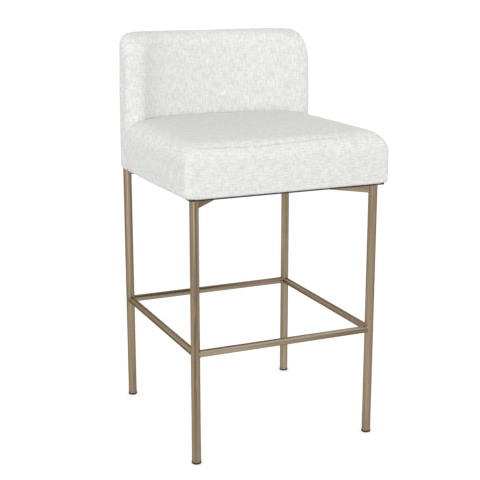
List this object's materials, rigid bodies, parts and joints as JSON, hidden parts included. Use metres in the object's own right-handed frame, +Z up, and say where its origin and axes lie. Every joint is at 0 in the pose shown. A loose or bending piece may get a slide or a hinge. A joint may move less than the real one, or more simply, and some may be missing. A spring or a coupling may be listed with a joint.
{
  "type": "bar stool",
  "caption": "Bar stool with a thick upholstered seat, a low back that wraps round the sitter, and a slim steel tube frame with a footrest.",
  "frame": {"origin": "on the floor, under the centre of the upholstery's outline", "axes": "+Z up, -Y is the front, +X is to the right as seen from the front"},
  "size_m": [0.48, 0.516, 0.914],
  "materials": {
    "bronze_steel": "antique bronze, satin, with fine lengthwise brushing",
    "glide_plastic": "moulded nylon",
    "zinc_steel": "zinc plated",
    "black_board": "black stained thin plywood",
    "plywood": "raw plywood",
    "hardboard": "raw hardboard",
    "foam": "open-cell foam",
    "wadding": "polyester wadding",
    "cover_fabric": "ivory slub weave"
  },
  "bodies": {
    "root": {"leg_front_left": "bronze_steel", "leg_front_right": "bronze_steel", "leg_rear_left": "bronze_steel", "leg_rear_right": "bronze_steel", "rung_front_footrest": "bronze_steel", "rung_rear": "bronze_steel", "rung_left": "bronze_steel", "rung_right": "bronze_steel", "brace_long": "bronze_steel", "brace_front_right": "bronze_steel", "brace_rear_left": "bronze_steel", "leg_top_discs": "bronze_steel", "glide_front_left": "glide_plastic", "glide_front_right": "glide_plastic", "glide_rear_left": "glide_plastic", "glide_rear_right": "glide_plastic", "seat_bolts": "zinc_steel", "seat_bolt_washers": "zinc_steel", "seat_tee_nuts": "zinc_steel", "base_board_screws": "zinc_steel", "back_rib_screws": "zinc_steel", "base_board": "black_board", "seat_deck": "plywood", "back_rib_bottom": "plywood", "back_rib_middle": "plywood", "back_rib_top": "plywood", "back_posts_lower": "plywood", "back_posts_upper": "plywood", "back_inner_skin": "hardboard", "back_outer_skin": "hardboard", "seat_foam": "foam", "back_foam": "foam", "seat_wadding": "wadding", "back_wadding": "wadding", "seat_cover": "cover_fabric", "back_cover": "cover_fabric"}
  },
  "joints": []
}
